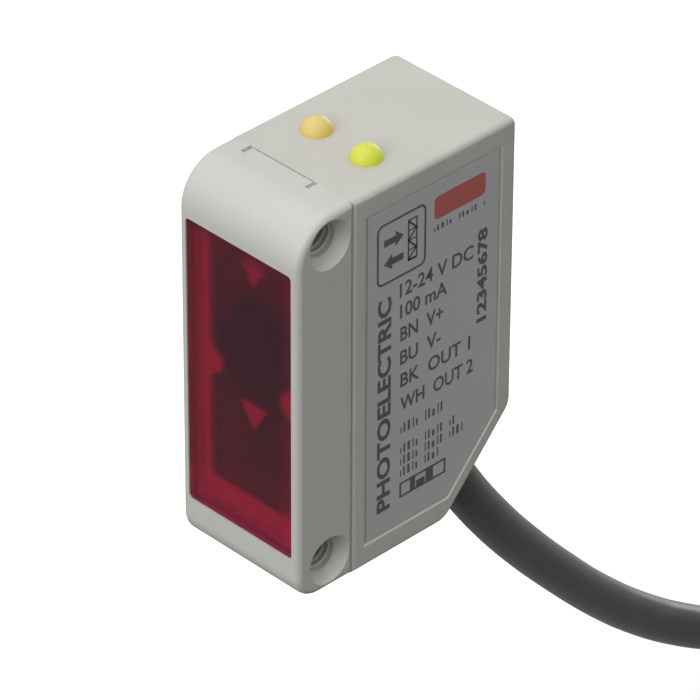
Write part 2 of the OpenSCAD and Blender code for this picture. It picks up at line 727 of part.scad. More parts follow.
module core_tips() color("silver") for (i = [0 : 3]) {
  translate(core_line(i)[core_steps]) rotate([-90, 0, 0]) cylinder(h = bare_l, d = bare_d, $fn = small_fn);
}

rear_housing();
front_frame();
front_window();
window_gasket();
seam_seal();
optics_mask();
axis_marks();
optics_carrier();
emitter_lens();
receiver_lens();
emitter_polariser();
receiver_polariser();
emitter_led();
receiver_photodiode();
optics_board();
receiver_amplifier();
receiver_shield();
main_board();
controller_chip();
output_transistors();
board_passives();
board_connector();
indicator_leds();
amber_light_pipe();
green_light_pipe();
trimmer_body();
trimmer_rotor();
trimmer_seal();
cable_grommet();
cable_clamp();
cable_tail();
inner_wires();
label();
cable();
cable_hank();
cable_end();
hank_ties();
core_brown();
core_blue();
core_black();
core_white();
core_tips();
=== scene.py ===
import json
import math

import bmesh
import bpy
from mathutils import Matrix, Vector


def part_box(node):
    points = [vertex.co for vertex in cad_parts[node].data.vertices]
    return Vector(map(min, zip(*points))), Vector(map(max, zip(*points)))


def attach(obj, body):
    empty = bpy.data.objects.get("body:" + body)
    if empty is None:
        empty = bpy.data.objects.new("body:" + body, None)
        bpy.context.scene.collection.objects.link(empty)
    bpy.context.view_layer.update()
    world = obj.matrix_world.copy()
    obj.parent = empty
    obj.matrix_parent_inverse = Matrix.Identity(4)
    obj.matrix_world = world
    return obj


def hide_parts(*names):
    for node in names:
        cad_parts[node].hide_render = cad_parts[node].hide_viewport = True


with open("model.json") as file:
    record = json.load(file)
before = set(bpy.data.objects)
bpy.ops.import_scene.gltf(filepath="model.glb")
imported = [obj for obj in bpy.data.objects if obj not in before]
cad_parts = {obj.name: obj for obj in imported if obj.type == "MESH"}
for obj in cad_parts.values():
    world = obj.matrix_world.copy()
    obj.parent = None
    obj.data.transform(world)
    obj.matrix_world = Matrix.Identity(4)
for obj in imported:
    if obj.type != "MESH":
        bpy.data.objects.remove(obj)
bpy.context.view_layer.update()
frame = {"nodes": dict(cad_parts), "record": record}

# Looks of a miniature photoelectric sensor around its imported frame. The window faces -Y, the label
# side faces +X, and the origin is the middle of the two mounting holes. Lengths are in metres.

MM = 0.001
NODES = frame["nodes"]
BODY = "housing"
TRIMMER = "trimmer"

REAR_LOW, REAR_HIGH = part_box("rear_housing")
PANE_LOW, PANE_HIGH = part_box("front_window")
FRONT_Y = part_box("front_frame")[0].y
BOTTOM_Z = REAR_LOW.z
TOP_Z = REAR_HIGH.z
LABEL_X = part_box("label")[1].x
HANK_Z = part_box("cable_hank")[0].z
FLOOR_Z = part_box("hank_ties")[0].z


# ---------------------------------------------------------------- camera, light and floor

CAMERA_AZIMUTH = 45.54
CAMERA_ELEVATION = 34.64
CAMERA_ROLL = 0.26
CAMERA_PLACE = Vector((239.59, -227.70, 230.01)) * MM
CAMERA_LENS = 311.3
SENSOR_SIZE = 36.0
CLIP_NEAR = 0.01
CLIP_FAR = 20.0


def make_camera():
    """A long lens from the right, front and above."""
    az, el, roll = (math.radians(a) for a in (CAMERA_AZIMUTH, CAMERA_ELEVATION, CAMERA_ROLL))
    back = Vector((math.sin(az) * math.cos(el), -math.cos(az) * math.cos(el), math.sin(el)))
    right = Vector((math.cos(az), math.sin(az), 0.0))
    level = Matrix((right, back.cross(right), back)).transposed().to_4x4()
    data = bpy.data.cameras.new("camera")
    data.sensor_width = SENSOR_SIZE
    data.lens = CAMERA_LENS
    data.clip_start = CLIP_NEAR
    data.clip_end = CLIP_FAR
    camera = bpy.data.objects.new("camera", data)
    bpy.context.scene.collection.objects.link(camera)
    camera.matrix_world = Matrix.Translation(CAMERA_PLACE) @ level @ Matrix.Rotation(roll, 4, "Z")
    bpy.context.scene.camera = camera


# Sky: its strength just under the horizon and overhead, and what the front left adds
SKY_RISE = (-0.1, 1.0)
SKY_STRENGTH = (0.08, 1.21)
SKY_FRONT = (0.0, -1.2)
SKY_FRONT_STRENGTH = (0.0, 0.2)
SKY_COLOR = (1.0, 1.0, 0.985, 1.0)
# Square lights: name, place, aim, size and power
LIGHTS = [
    ("key", (0.08, -1.0, 0.48), (0, 0, 0), 0.7, 5.3),
    ("back", (-0.3, 0.9, 0.02), (0, 0.03, -0.03), 0.35, 3.2),
]
FLOOR_HALF = 1.5
FLOOR_COLOR = (0.93, 0.93, 0.93, 1.0)
FLOOR_ROUGHNESS = 0.9
FLOOR_GLOW = 0.24


def make_world():
    """Soft light from a pale sky: brightest overhead, dim below, a little brighter to the front left."""
    world = bpy.data.worlds.new("studio")
    bpy.context.scene.world = world
    world.use_nodes = True
    tree = world.node_tree
    background = tree.nodes["Background"]
    place = tree.nodes.new("ShaderNodeTexCoord")
    axes = tree.nodes.new("ShaderNodeSeparateXYZ")
    tree.links.new(place.outputs["Generated"], axes.inputs[0])
    rise = add_range(tree, axes.outputs["Z"], *SKY_RISE, *SKY_STRENGTH)
    sideways = tree.nodes.new("ShaderNodeMath")
    tree.links.new(axes.outputs["X"], sideways.inputs[0])
    tree.links.new(axes.outputs["Y"], sideways.inputs[1])
    front = add_range(tree, sideways.outputs[0], *SKY_FRONT, *SKY_FRONT_STRENGTH)
    total = tree.nodes.new("ShaderNodeMath")
    tree.links.new(rise, total.inputs[0])
    tree.links.new(front, total.inputs[1])
    tree.links.new(total.outputs[0], background.inputs["Strength"])
    background.inputs["Color"].default_value = SKY_COLOR


def add_range(tree, source, low, high, to_low, to_high):
    """The source's range low..high mapped onto to_low..to_high."""
    ramp = tree.nodes.new("ShaderNodeMapRange")
    ramp.inputs["From Min"].default_value = low
    ramp.inputs["From Max"].default_value = high
    ramp.inputs["To Min"].default_value = to_low
    ramp.inputs["To Max"].default_value = to_high
    tree.links.new(source, ramp.inputs["Value"])
    return ramp.outputs["Result"]


def make_light(name, place, aim, size, power):
    """A square white area light at place, turned towards aim."""
    data = bpy.data.lights.new(name, "AREA")
    data.size = size
    data.energy = power
    light = bpy.data.objects.new(name, data)
    bpy.context.scene.collection.objects.link(light)
    light.location = place
    light.rotation_euler = (Vector(aim) - Vector(place)).to_track_quat("-Z", "Y").to_euler()


def make_floor():
    """A plain white floor that the stored cable lies on."""
    mesh = bpy.data.meshes.new("floor")
    corners = [(x * FLOOR_HALF, y * FLOOR_HALF, 0) for x, y in ((-1, -1), (1, -1), (1, 1), (-1, 1))]
    mesh.from_pydata(corners, [], [(0, 1, 2, 3)])
    floor = bpy.data.objects.new("floor", mesh)
    bpy.context.scene.collection.objects.link(floor)
    floor.location.z = FLOOR_Z
    material = bpy.data.materials.new("floor_white")
    material.use_nodes = True
    shader = material.node_tree.nodes["Principled BSDF"]
    shader.inputs["Base Color"].default_value = FLOOR_COLOR
    shader.inputs["Roughness"].default_value = FLOOR_ROUGHNESS
    shader.inputs["Emission Color"].default_value = (1.0, 1.0, 1.0, 1.0)
    shader.inputs["Emission Strength"].default_value = FLOOR_GLOW
    mesh.materials.append(material)
    floor.visible_diffuse = False
    floor.visible_glossy = False
    floor.visible_transmission = False


# ---------------------------------------------------------------- materials

# The part of a noise's range that is mapped onto a drift of tone or gloss
NOISE_SPAN = (0.3, 0.7)
NOISE_ROUGHNESS = 0.6
ACRYLIC_IOR = 1.49
# Moulded plastic: waves per metre of its drift and its grain, depth of the grain, spread of the gloss
DRIFT_SCALE = 180.0
GRAIN_SCALE = 9000.0
GRAIN_DEPTH = 0.004 * MM
GLOSS_SPREAD = (-0.04, 0.06)
# Metal: waves per metre and depth of its dents, strength of their relief and spread of the gloss
DENT_SCALE = 900.0
DENT_DEPTH = 0.01 * MM
DENT_STRENGTH = 0.4
METAL_SPREAD = 0.15
# Sheath: waves per metre of its drift and its grain, depth of the grain, spread of tone and gloss
SHEATH_SCALE = 420.0
SHEATH_GRAIN_SCALE = 3500.0
SHEATH_GRAIN_DEPTH = 0.008 * MM
SHEATH_TONES = (0.88, 1.12)
SHEATH_SPREAD = (-0.05, 0.08)
# Painted shade on the parts behind the window: where they are darkest (x, z) and the reach over which
# they grow lighter
PANE_Z = (PANE_LOW.z + PANE_HIGH.z) / 2
PAINTED_SHADE_MIDDLE = (0.5 * MM, 1.5 * MM)
PAINTED_SHADE_REACH = (3.0 * MM, 6.5 * MM)
# Painted shade in the middle of each lens: its centre (x, and z from the pane's middle), its reach and
# its depth
PAINTED_SHADE_LENS_CENTRE = (0.2 * MM, 5.2 * MM)
PAINTED_SHADE_LENS_REACH = (1.0 * MM, 3.2 * MM)
PAINTED_SHADE_LENS_DEPTH = 0.4
SHADE_SCALE = 300.0
SHADE_DRIFT = 0.2
# Distances from the pane's edge where a rim of painted colour starts and where it is full: painted light
# along the sides, painted shade at the ends and on the very edge
SIDE_RIM = (1.3 * MM, 0.4 * MM)
END_RIM = (0.5 * MM, 0.35 * MM)
EDGE_RIM = (0.06 * MM, 0.03 * MM)
HAZE_RIM = (2.0 * MM, 0.1 * MM)
RIM_HAZE = 0.4
# Colour sockets of a Mix node, which share their names with those of its other data types
MIX_A = 6
MIX_B = 7
MIX_RESULT = 2
# Indicator domes: height of the rim with painted deeper tone, roughness, amount and depth of the
# milkiness, painted glow, then waves per metre and share of the drift, and waves per metre, depth and
# strength of the grain
DOME_PAINTED_RIM_HEIGHT = 0.7 * MM
DOME_ROUGHNESS = 0.5
DOME_MILK = 0.35
DOME_MILK_DEPTH = (0.6 * MM, 0.5 * MM, 0.3 * MM)
DOME_PAINTED_GLOW = 0.12
DOME_SCALE = 700.0
DOME_DRIFT = 0.2
DOME_GRAIN_SCALE = 2500.0
DOME_GRAIN_DEPTH = 0.01 * MM
DOME_GRAIN_STRENGTH = 0.5


def new_material(name, color, roughness, **sockets):
    """A Principled material with plain values; returns the material, its tree and its shader."""
    material = bpy.data.materials.new(name)
    material.use_nodes = True
    tree = material.node_tree
    shader = tree.nodes["Principled BSDF"]
    shader.inputs["Base Color"].default_value = (*color, 1.0)
    shader.inputs["Roughness"].default_value = roughness
    for socket, value in sockets.items():
        shader.inputs[socket.replace("_", " ")].default_value = value
    return material, tree, shader


def add_noise(tree, scale, detail):
    """Noise over the piece's own coordinates; scale is in waves per metre."""
    place = tree.nodes.new("ShaderNodeTexCoord")
    noise = tree.nodes.new("ShaderNodeTexNoise")
    noise.inputs["Scale"].default_value = scale
    noise.inputs["Detail"].default_value = detail
    noise.inputs["Roughness"].default_value = NOISE_ROUGHNESS
    tree.links.new(place.outputs["Object"], noise.inputs["Vector"])
    return noise


def add_bump(tree, shader, noise, depth, strength=1.0):
    """Fine relief of the given depth from the noise."""
    bump = tree.nodes.new("ShaderNodeBump")
    bump.inputs["Strength"].default_value = strength
    bump.inputs["Distance"].default_value = depth
    tree.links.new(noise.outputs["Fac"], bump.inputs["Height"])
    tree.links.new(bump.outputs["Normal"], shader.inputs["Normal"])


def add_ramp(tree, shader, source, first, second, span=(0.0, 1.0)):
    """Base colour that runs from the first to the second over the span of the source."""
    ramp = tree.nodes.new("ShaderNodeValToRGB")
    for element, position, color in zip(ramp.color_ramp.elements, span, (first, second)):
        element.position = position
        element.color = (*color, 1.0)
    tree.links.new(source, ramp.inputs["Fac"])
    tree.links.new(ramp.outputs["Color"], shader.inputs["Base Color"])


def add_tone(tree, shader, noise, dark, light):
    """Base colour that drifts between two tones with the noise."""
    add_ramp(tree, shader, noise.outputs["Fac"], dark, light, NOISE_SPAN)


def add_gloss(tree, shader, noise, low, high):
    """Roughness that drifts between two values with the noise."""
    gloss = add_range(tree, noise.outputs["Fac"], *NOISE_SPAN, low, high)
    tree.links.new(gloss, shader.inputs["Roughness"])


def moulded(name, color, roughness, grain=GRAIN_SCALE, drift=0.03):
    """Moulded plastic: a faint drift of tone and gloss, and a fine spark-eroded grain."""
    material, tree, shader = new_material(name, color, roughness)
    broad = add_noise(tree, DRIFT_SCALE, 3.0)
    dark = tuple(c * (1 - drift) for c in color)
    light = tuple(min(1.0, c * (1 + drift)) for c in color)
    add_tone(tree, shader, broad, dark, light)
    add_gloss(tree, shader, broad, *(roughness + change for change in GLOSS_SPREAD))
    add_bump(tree, shader, add_noise(tree, grain, 3.0), GRAIN_DEPTH)
    return material


def metal(name, color, roughness):
    """Dull metal with uneven gloss and slight dents."""
    material, tree, shader = new_material(name, color, roughness, Metallic=1.0)
    broad = add_noise(tree, DENT_SCALE, 4.0)
    add_gloss(tree, shader, broad, roughness, roughness + METAL_SPREAD)
    add_bump(tree, shader, broad, DENT_DEPTH, DENT_STRENGTH)
    return material


# Circuit board: cells of the track web per metre, its two greens and where one turns into the other
TRACK_SCALE = 900.0
TRACK_GREEN = (0.03, 0.25, 0.1)
MASK_GREEN = (0.01, 0.12, 0.045)
TRACK_EDGE = (0.04, 0.08)


def circuit_board():
    """Green solder mask with the lighter web of its tracks."""
    material, tree, shader = new_material("board_green", (0.02, 0.16, 0.06), 0.35)
    place = tree.nodes.new("ShaderNodeTexCoord")
    tracks = tree.nodes.new("ShaderNodeTexVoronoi")
    tracks.feature = "DISTANCE_TO_EDGE"
    tracks.inputs["Scale"].default_value = TRACK_SCALE
    tree.links.new(place.outputs["Object"], tracks.inputs["Vector"])
    add_ramp(tree, shader, tracks.outputs["Distance"], TRACK_GREEN, MASK_GREEN, TRACK_EDGE)
    return material


def tinted_glass(name, color, roughness):
    """Clear tinted plastic that lets lamplight through to what is behind it."""
    material, tree, shader = new_material(
        name, color, roughness, IOR=ACRYLIC_IOR, Transmission_Weight=1.0
    )
    through = tree.nodes.new("ShaderNodeBsdfTransparent")
    through.inputs["Color"].default_value = (*color, 1.0)
    path = tree.nodes.new("ShaderNodeLightPath")
    mix = tree.nodes.new("ShaderNodeMixShader")
    output = tree.nodes["Material Output"]
    tree.links.new(path.outputs["Is Shadow Ray"], mix.inputs[0])
    tree.links.new(shader.outputs["BSDF"], mix.inputs[1])
    tree.links.new(through.outputs["BSDF"], mix.inputs[2])
    tree.links.new(mix.outputs["Shader"], output.inputs["Surface"])
    return material


def painted_rim_light_and_shade(material, side_painted_light, end_painted_shade, edge_painted_shade):
    """Paints light on a pane near its sides and shade near its upper and lower ends and on its very edge,
    with some haze.
    """
    tree = material.node_tree
    shader = tree.nodes["Principled BSDF"]
    place = tree.nodes.new("ShaderNodeTexCoord")
    axes = tree.nodes.new("ShaderNodeSeparateXYZ")
    tree.links.new(place.outputs["Object"], axes.inputs[0])
    inside = {}
    for axis, low, high in (("X", PANE_LOW.x, PANE_HIGH.x), ("Z", PANE_LOW.z, PANE_HIGH.z)):
        offset = tree.nodes.new("ShaderNodeMath")
        offset.operation = "SUBTRACT"
        offset.inputs[1].default_value = (low + high) / 2
        reach = tree.nodes.new("ShaderNodeMath")
        reach.operation = "ABSOLUTE"
        tree.links.new(axes.outputs[axis], offset.inputs[0])
        tree.links.new(offset.outputs[0], reach.inputs[0])
        inside[axis] = add_range(tree, reach.outputs[0], 0.0, (high - low) / 2, (high - low) / 2, 0.0)
    nearest = tree.nodes.new("ShaderNodeMath")
    nearest.operation = "MINIMUM"
    tree.links.new(inside["X"], nearest.inputs[0])
    tree.links.new(inside["Z"], nearest.inputs[1])
    color = None
    for source, (start, full), rim_paint in (
        (inside["X"], SIDE_RIM, side_painted_light), (inside["Z"], END_RIM, end_painted_shade),
        (nearest.outputs[0], EDGE_RIM, edge_painted_shade),
    ):
        mix = tree.nodes.new("ShaderNodeMix")
        mix.data_type = "RGBA"
        tree.links.new(add_range(tree, source, start, full, 0.0, 1.0), mix.inputs["Factor"])
        if color:
            tree.links.new(color, mix.inputs[MIX_A])
        else:
            mix.inputs[MIX_A].default_value = tuple(shader.inputs["Base Color"].default_value)
        mix.inputs[MIX_B].default_value = (*rim_paint, 1.0)
        color = mix.outputs[MIX_RESULT]
    tree.links.new(color, shader.inputs["Base Color"])
    clear = shader.inputs["Roughness"].default_value
    haze = add_range(tree, nearest.outputs[0], *HAZE_RIM, clear, RIM_HAZE)
    haze.node.interpolation_type = "SMOOTHSTEP"
    tree.links.new(haze, shader.inputs["Roughness"])
    return material


def add_reach(tree, x, z, centre, fold=0.0):
    """Distance from a centre across the window; with fold, heights are mirrored about that height."""
    if fold:
        height = tree.nodes.new("ShaderNodeMath")
        height.operation = "SUBTRACT"
        height.inputs[1].default_value = fold
        mirrored = tree.nodes.new("ShaderNodeMath")
        mirrored.operation = "ABSOLUTE"
        tree.links.new(z, height.inputs[0])
        tree.links.new(height.outputs[0], mirrored.inputs[0])
        z = mirrored.outputs[0]
    flat = tree.nodes.new("ShaderNodeCombineXYZ")
    reach = tree.nodes.new("ShaderNodeVectorMath")
    reach.operation = "DISTANCE"
    reach.inputs[1].default_value = (centre[0], 0.0, centre[1])
    tree.links.new(x, flat.inputs["X"])
    tree.links.new(z, flat.inputs["Z"])
    tree.links.new(flat.outputs[0], reach.inputs[0])
    return reach.outputs["Value"]


def painted_shade_behind_window(name, dark, light, roughness, **sockets):
    """Dark plastic or film behind the window with painted shade: darkest mid window and in the middle of
    each lens.
    """
    material, tree, shader = new_material(name, dark, roughness, **sockets)
    place = tree.nodes.new("ShaderNodeTexCoord")
    axes = tree.nodes.new("ShaderNodeSeparateXYZ")
    tree.links.new(place.outputs["Object"], axes.inputs[0])
    x, z = axes.outputs["X"], axes.outputs["Z"]
    middle = add_range(tree, add_reach(tree, x, z, PAINTED_SHADE_MIDDLE), *PAINTED_SHADE_REACH, 0.0, 1.0)
    lens = add_range(tree, add_reach(tree, x, z, PAINTED_SHADE_LENS_CENTRE, PANE_Z), *PAINTED_SHADE_LENS_REACH, -PAINTED_SHADE_LENS_DEPTH, 0.0)
    noise = add_noise(tree, SHADE_SCALE, 2.0)
    drift = add_range(tree, noise.outputs["Fac"], *NOISE_SPAN, -SHADE_DRIFT, SHADE_DRIFT)
    total = middle
    for more in (lens, drift):
        both = tree.nodes.new("ShaderNodeMath")
        tree.links.new(total, both.inputs[0])
        tree.links.new(more, both.inputs[1])
        total = both.outputs[0]
    add_ramp(tree, shader, total, dark, light)
    return material


def sheath_plastic(name, color, roughness, sheen=0.0):
    """Cable sheath: satin PVC with faint drawn-out unevenness."""
    material, tree, shader = new_material(name, color, roughness, Sheen_Weight=sheen)
    broad = add_noise(tree, SHEATH_SCALE, 4.0)
    add_tone(tree, shader, broad, *(tuple(c * part for c in color) for part in SHEATH_TONES))
    add_gloss(tree, shader, broad, *(roughness + change for change in SHEATH_SPREAD))
    add_bump(tree, shader, add_noise(tree, SHEATH_GRAIN_SCALE, 4.0), SHEATH_GRAIN_DEPTH)
    return material


def light_pipe(name, rim, color, light):
    """Milky tinted plastic with a painted glow, and painted light and shade: deeper in tone at the dome's
    rim, lighter towards its top.
    """
    material, tree, shader = new_material(
        name, color, DOME_ROUGHNESS, Subsurface_Weight=DOME_MILK,
        Subsurface_Radius=DOME_MILK_DEPTH, Emission_Color=(*light, 1.0), Emission_Strength=DOME_PAINTED_GLOW,
    )
    place = tree.nodes.new("ShaderNodeTexCoord")
    axes = tree.nodes.new("ShaderNodeSeparateXYZ")
    tree.links.new(place.outputs["Object"], axes.inputs[0])
    # Painted light and shade: the dome is lighter towards its top and deeper in tone at its rim
    height = add_range(tree, axes.outputs["Z"], TOP_Z, TOP_Z + DOME_PAINTED_RIM_HEIGHT, 0.0, 1.0 - DOME_DRIFT)
    noise = add_noise(tree, DOME_SCALE, 3.0)
    drift = add_range(tree, noise.outputs["Fac"], *NOISE_SPAN, 0.0, DOME_DRIFT)
    both = tree.nodes.new("ShaderNodeMath")
    tree.links.new(height, both.inputs[0])
    tree.links.new(drift, both.inputs[1])
    add_ramp(tree, shader, both.outputs[0], rim, color)
    grain = add_noise(tree, DOME_GRAIN_SCALE, 3.0)
    add_bump(tree, shader, grain, DOME_GRAIN_DEPTH, DOME_GRAIN_STRENGTH)
    return material


def make_materials():
    """Every material by the name of its slot."""
    return {
        "housing_plastic": moulded("housing_plastic", (0.525, 0.52, 0.485), 0.5),
        "frame_plastic": moulded("frame_plastic", (0.545, 0.55, 0.515), 0.48),
        # The window has painted light along its sides and painted shade at its ends and on its edge
        "red_window": painted_rim_light_and_shade(
            tinted_glass("red_window", (0.66, 0.002, 0.2), 0.2),
            (0.95, 0.004, 0.27), (0.5, 0.004, 0.15), (0.2, 0.01, 0.05),
        ),
        "seal_rubber": moulded("seal_rubber", (0.03, 0.03, 0.03), 0.7),
        "pale_plastic": moulded("pale_plastic", (0.6, 0.6, 0.57), 0.5),
        "grey_seal": moulded("grey_seal", (0.42, 0.42, 0.41), 0.6),
        # Parts behind the window carry painted shade, darkest mid window and in the middle of each lens
        "black_plastic": painted_shade_behind_window("black_plastic", (0.015, 0.015, 0.015), (0.13, 0.13, 0.13), 0.55),
        "clear_plastic": tinted_glass("clear_plastic", (0.9, 0.92, 0.95), 0.02),
        "polariser_film": painted_shade_behind_window(
            "polariser_film", (0.01, 0.01, 0.01), (0.15, 0.15, 0.15), 0.3, Transmission_Weight=0.3
        ),
        "led_body": moulded("led_body", (0.8, 0.76, 0.66), 0.4),
        "chip_black": moulded("chip_black", (0.02, 0.02, 0.02), 0.5, grain=5000.0),
        "board_green": circuit_board(),
        "ceramic_tan": moulded("ceramic_tan", (0.5, 0.38, 0.24), 0.5),
        "shield_metal": metal("shield_metal", (0.62, 0.62, 0.6), 0.3),
        "pin_brass": metal("pin_brass", (0.75, 0.58, 0.3), 0.25),
        # Indicator domes with a painted glow and painted light towards their tops
        "amber_lens": light_pipe("amber_lens", (0.6, 0.4, 0.06), (0.6, 0.49, 0.19), (1.0, 0.7, 0.2)),
        "green_lens": light_pipe(
            "green_lens", (0.52, 0.53, 0.01), (0.55, 0.58, 0.08), (0.95, 1.0, 0.02)
        ),
        "trimmer_blue": moulded("trimmer_blue", (0.05, 0.12, 0.35), 0.35),
        "trimmer_ivory": moulded("trimmer_ivory", (0.72, 0.69, 0.6), 0.45),
        "grommet_rubber": moulded("grommet_rubber", (0.05, 0.05, 0.048), 0.6),
        "cable_sheath": sheath_plastic("cable_sheath", (0.062, 0.06, 0.053), 0.38, 0.3),
        "core_mixed": sheath_plastic("core_mixed", (0.3, 0.2, 0.12), 0.4),
        "label_film": moulded("label_film", (0.5, 0.5, 0.51), 0.42, drift=0.015),
        "label_ink": moulded("label_ink", (0.12, 0.12, 0.115), 0.5),
        "label_red": moulded("label_red", (0.5, 0.13, 0.115), 0.5),
        "tie_black": moulded("tie_black", (0.02, 0.02, 0.02), 0.45),
        "core_brown": sheath_plastic("core_brown", (0.13, 0.05, 0.02), 0.38),
        "core_blue": sheath_plastic("core_blue", (0.02, 0.07, 0.35), 0.38),
        "core_black": sheath_plastic("core_black", (0.015, 0.015, 0.015), 0.38),
        "core_white": sheath_plastic("core_white", (0.8, 0.8, 0.78), 0.38),
        "tinned_copper": metal("tinned_copper", (0.7, 0.69, 0.66), 0.25),
    }


# ---------------------------------------------------------------- cable

# The two open routes are points in millimetres; the hank between them is made from its measures.
CABLE_D = 3.3 * MM
CORE_D = 1.1 * MM
CABLE_ROUTE = [
    (0, 14.7, -12.4), (0, 16.6, -15.7), (0, 18.5, -18.9), (0, 21.3, -22.9), (0, 24.5, -26.9),
    (0, 28.8, -31.7), (0, 33.1, -36.1), (0, 37.5, -40), (-0.1, 42, -43.4), (-0.4, 46.6, -46.4),
    (-0.9, 51, -48.7), (-1.5, 55.4, -50.2), (-2, 59.5, -50.8), (-2.2, 62, -50.95),
    (-2.2, 63, -50.95),
]
END_ROUTE = [
    (1.1, 66, -47.7), (1.4, 70, -47.9), (2.4, 74, -48.5), (4, 78, -49.4), (5.8, 82, -50.3),
    (7.2, 86, -50.8), (7.9, 89, -50.95), (8, 91, -50.95), (8, 92, -50.95),
]
FOLD_R = 9.9 * MM
RUN_LENGTH = 50 * MM
HANK_X = 11 * MM
HANK_Y = 63 * MM
LAYERS = 6
FOLD_STEPS = 14
RUN_STEPS = 4
TUBE_STEPS = 4


def smooth_step(t):
    """Eases from 0 to 1."""
    return t * t * (3 - 2 * t)


def hank_turns():
    """Radius and layer of each turn: up the outside of the hank and back down its inside."""
    outer = [(FOLD_R + CABLE_D, layer) for layer in range(LAYERS)]
    inner = [(FOLD_R, layer) for layer in range(LAYERS - 1, 0, -1)]
    return outer + inner


def hank_line():
    """Centre line of the hank. Each near fold carries the cable over to the next turn."""
    lowest = HANK_Z + CABLE_D / 2
    turns = hank_turns()
    line = []
    for i, (radius, layer) in enumerate(turns):
        next_radius, next_layer = turns[min(i + 1, len(turns) - 1)]
        height = lowest + layer * CABLE_D
        far_y = HANK_Y + RUN_LENGTH
        for k in range(1, RUN_STEPS):
            line.append((HANK_X - radius, HANK_Y + RUN_LENGTH * k / RUN_STEPS, height))
        for k in range(FOLD_STEPS + 1):
            a = math.pi * (1 - k / FOLD_STEPS)
            line.append((HANK_X + radius * math.cos(a), far_y + radius * math.sin(a), height))
        for k in range(1, RUN_STEPS):
            line.append((HANK_X + radius, far_y - RUN_LENGTH * k / RUN_STEPS, height))
        for k in range(FOLD_STEPS + 1):
            s = k / FOLD_STEPS
            r = radius + (next_radius - radius) * smooth_step(s)
            h = height + (next_layer - layer) * CABLE_D * smooth_step(s)
            line.append((HANK_X + r * math.cos(math.pi * s), HANK_Y - r * math.sin(math.pi * s), h))
    return [Vector(p) for p in line]


def make_tube(name, points, radius, material, sides):
    """A round tube along a smooth curve through the points; sides sets how round it is."""
    data = bpy.data.curves.new(name, "CURVE")
    data.dimensions = "3D"
    data.bevel_depth = radius
    data.bevel_resolution = sides
    data.resolution_u = TUBE_STEPS
    data.use_fill_caps = True
    spline = data.splines.new("BEZIER")
    spline.bezier_points.add(len(points) - 1)
    for point, place in zip(spline.bezier_points, points):
        point.co = place
        point.handle_left_type = "AUTO"
        point.handle_right_type = "AUTO"
    data.materials.append(material)
    tube = bpy.data.objects.new(name, data)
    bpy.context.scene.collection.objects.link(tube)
    return tube


CORE_START = Vector((8, 92.02, -50.95)) * MM
CORE_BUNDLE = [(-0.8, 0), (0, -0.8), (0, 0.8), (0.8, 0)]
CORE_FAN = [-1.9, 0.5, 2.7, 5.1]
CORE_WAVE = [0.3, -0.2, 0.3, -0.3]
CORE_LENGTH = 22.0
CORE_STEPS = 12


def core_line(i):
    """Centre line of one core, from the bundle in the sheath out onto the floor."""
    line = []
    for k in range(CORE_STEPS + 1):
        s = k / CORE_STEPS
        ease = smooth_step(s)
        across = CORE_BUNDLE[i][0] * (1 - ease) + CORE_FAN[i] * ease
        across += CORE_WAVE[i] * s * math.sin(2 * math.pi * s)
        height = CORE_BUNDLE[i][1] * (1 - ease) + (CORE_D - CABLE_D) / 2 / MM * ease
        line.append(CORE_START + Vector((across, s * CORE_LENGTH, height)) * MM)
    return line


def make_cords(materials):
    """The cable with its hank, its ties and its four stripped cores."""
    ties = make_ties(materials)
    route = [Vector(p) * MM for p in CABLE_ROUTE]
    end = [Vector(p) * MM for p in END_ROUTE]
    sheath = make_tube(
        "cable_sheath_tube", route + hank_line() + end, CABLE_D / 2, materials["cable_sheath"], 5
    )
    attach(sheath, BODY)
    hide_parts("cable", "cable_hank", "cable_end")
    for i, shade in enumerate(("brown", "blue", "black", "white")):
        name = "core_" + shade
        core = make_tube(name + "_wire", core_line(i), CORE_D / 2, materials[name], 4)
        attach(core, BODY)
        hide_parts(name)


# ---------------------------------------------------------------- shells

# Softened edges: offset and steps; angles above which an edge is sharp and below which it is merged
EDGE_BREAK = 0.07 * MM
EDGE_STEPS = 3
SHARP = math.radians(33)
FLAT = math.radians(0.5)
WELD = 1e-6


def add_object(name, mesh, material, body, slot, *replaced):
    """A finished piece that rides on a body, with its material, in place of CAD nodes. The slot is not
    used.
    """
    piece = bpy.data.objects.new(name, mesh)
    bpy.context.scene.collection.objects.link(piece)
    mesh.materials.append(material)
    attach(piece, body)
    if replaced:
        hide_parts(*replaced)
    return piece


def refine(node, materials, slot, body, edge=EDGE_BREAK):
    """A node's shape with its facets merged, its edges softly broken and smooth shading."""
    bm = bmesh.new()
    bm.from_mesh(NODES[node].data)
    bmesh.ops.remove_doubles(bm, verts=bm.verts, dist=WELD)
    bmesh.ops.dissolve_limit(bm, angle_limit=FLAT, verts=bm.verts, edges=bm.edges)
    if edge:
        sharp = [e for e in bm.edges if e.is_manifold and e.calc_face_angle(0.0) > SHARP]
        bmesh.ops.bevel(
            bm, geom=sharp, offset=edge, offset_type="OFFSET", segments=EDGE_STEPS, profile=0.5,
            affect="EDGES", clamp_overlap=True,
        )
    for face in bm.faces:
        face.smooth = True
    for e in bm.edges:
        e.smooth = e.is_manifold and e.calc_face_angle(0.0) < SHARP
    mesh = bpy.data.meshes.new(node + "_shell")
    bm.to_mesh(mesh)
    bm.free()
    piece = add_object(node + "_shell", mesh, materials[slot], body, slot, node)
    piece.modifiers.new("normals", "WEIGHTED_NORMAL").keep_sharp = True


HOLE_SPACING = 25.4 * MM
BORE_R = 1.25 * MM
THREAD_PITCH = 0.5 * MM
THREAD_DEPTH = 0.14 * MM
THREAD_HALF = 4.65 * MM
THREAD_SIDES = 32
# Crest in section: rise from the bore's wall, and place along the pitch
THREAD_CREST = [(0.02 * MM, -0.2), (-THREAD_DEPTH, -0.03), (-THREAD_DEPTH, 0.03), (0.02 * MM, 0.2)]


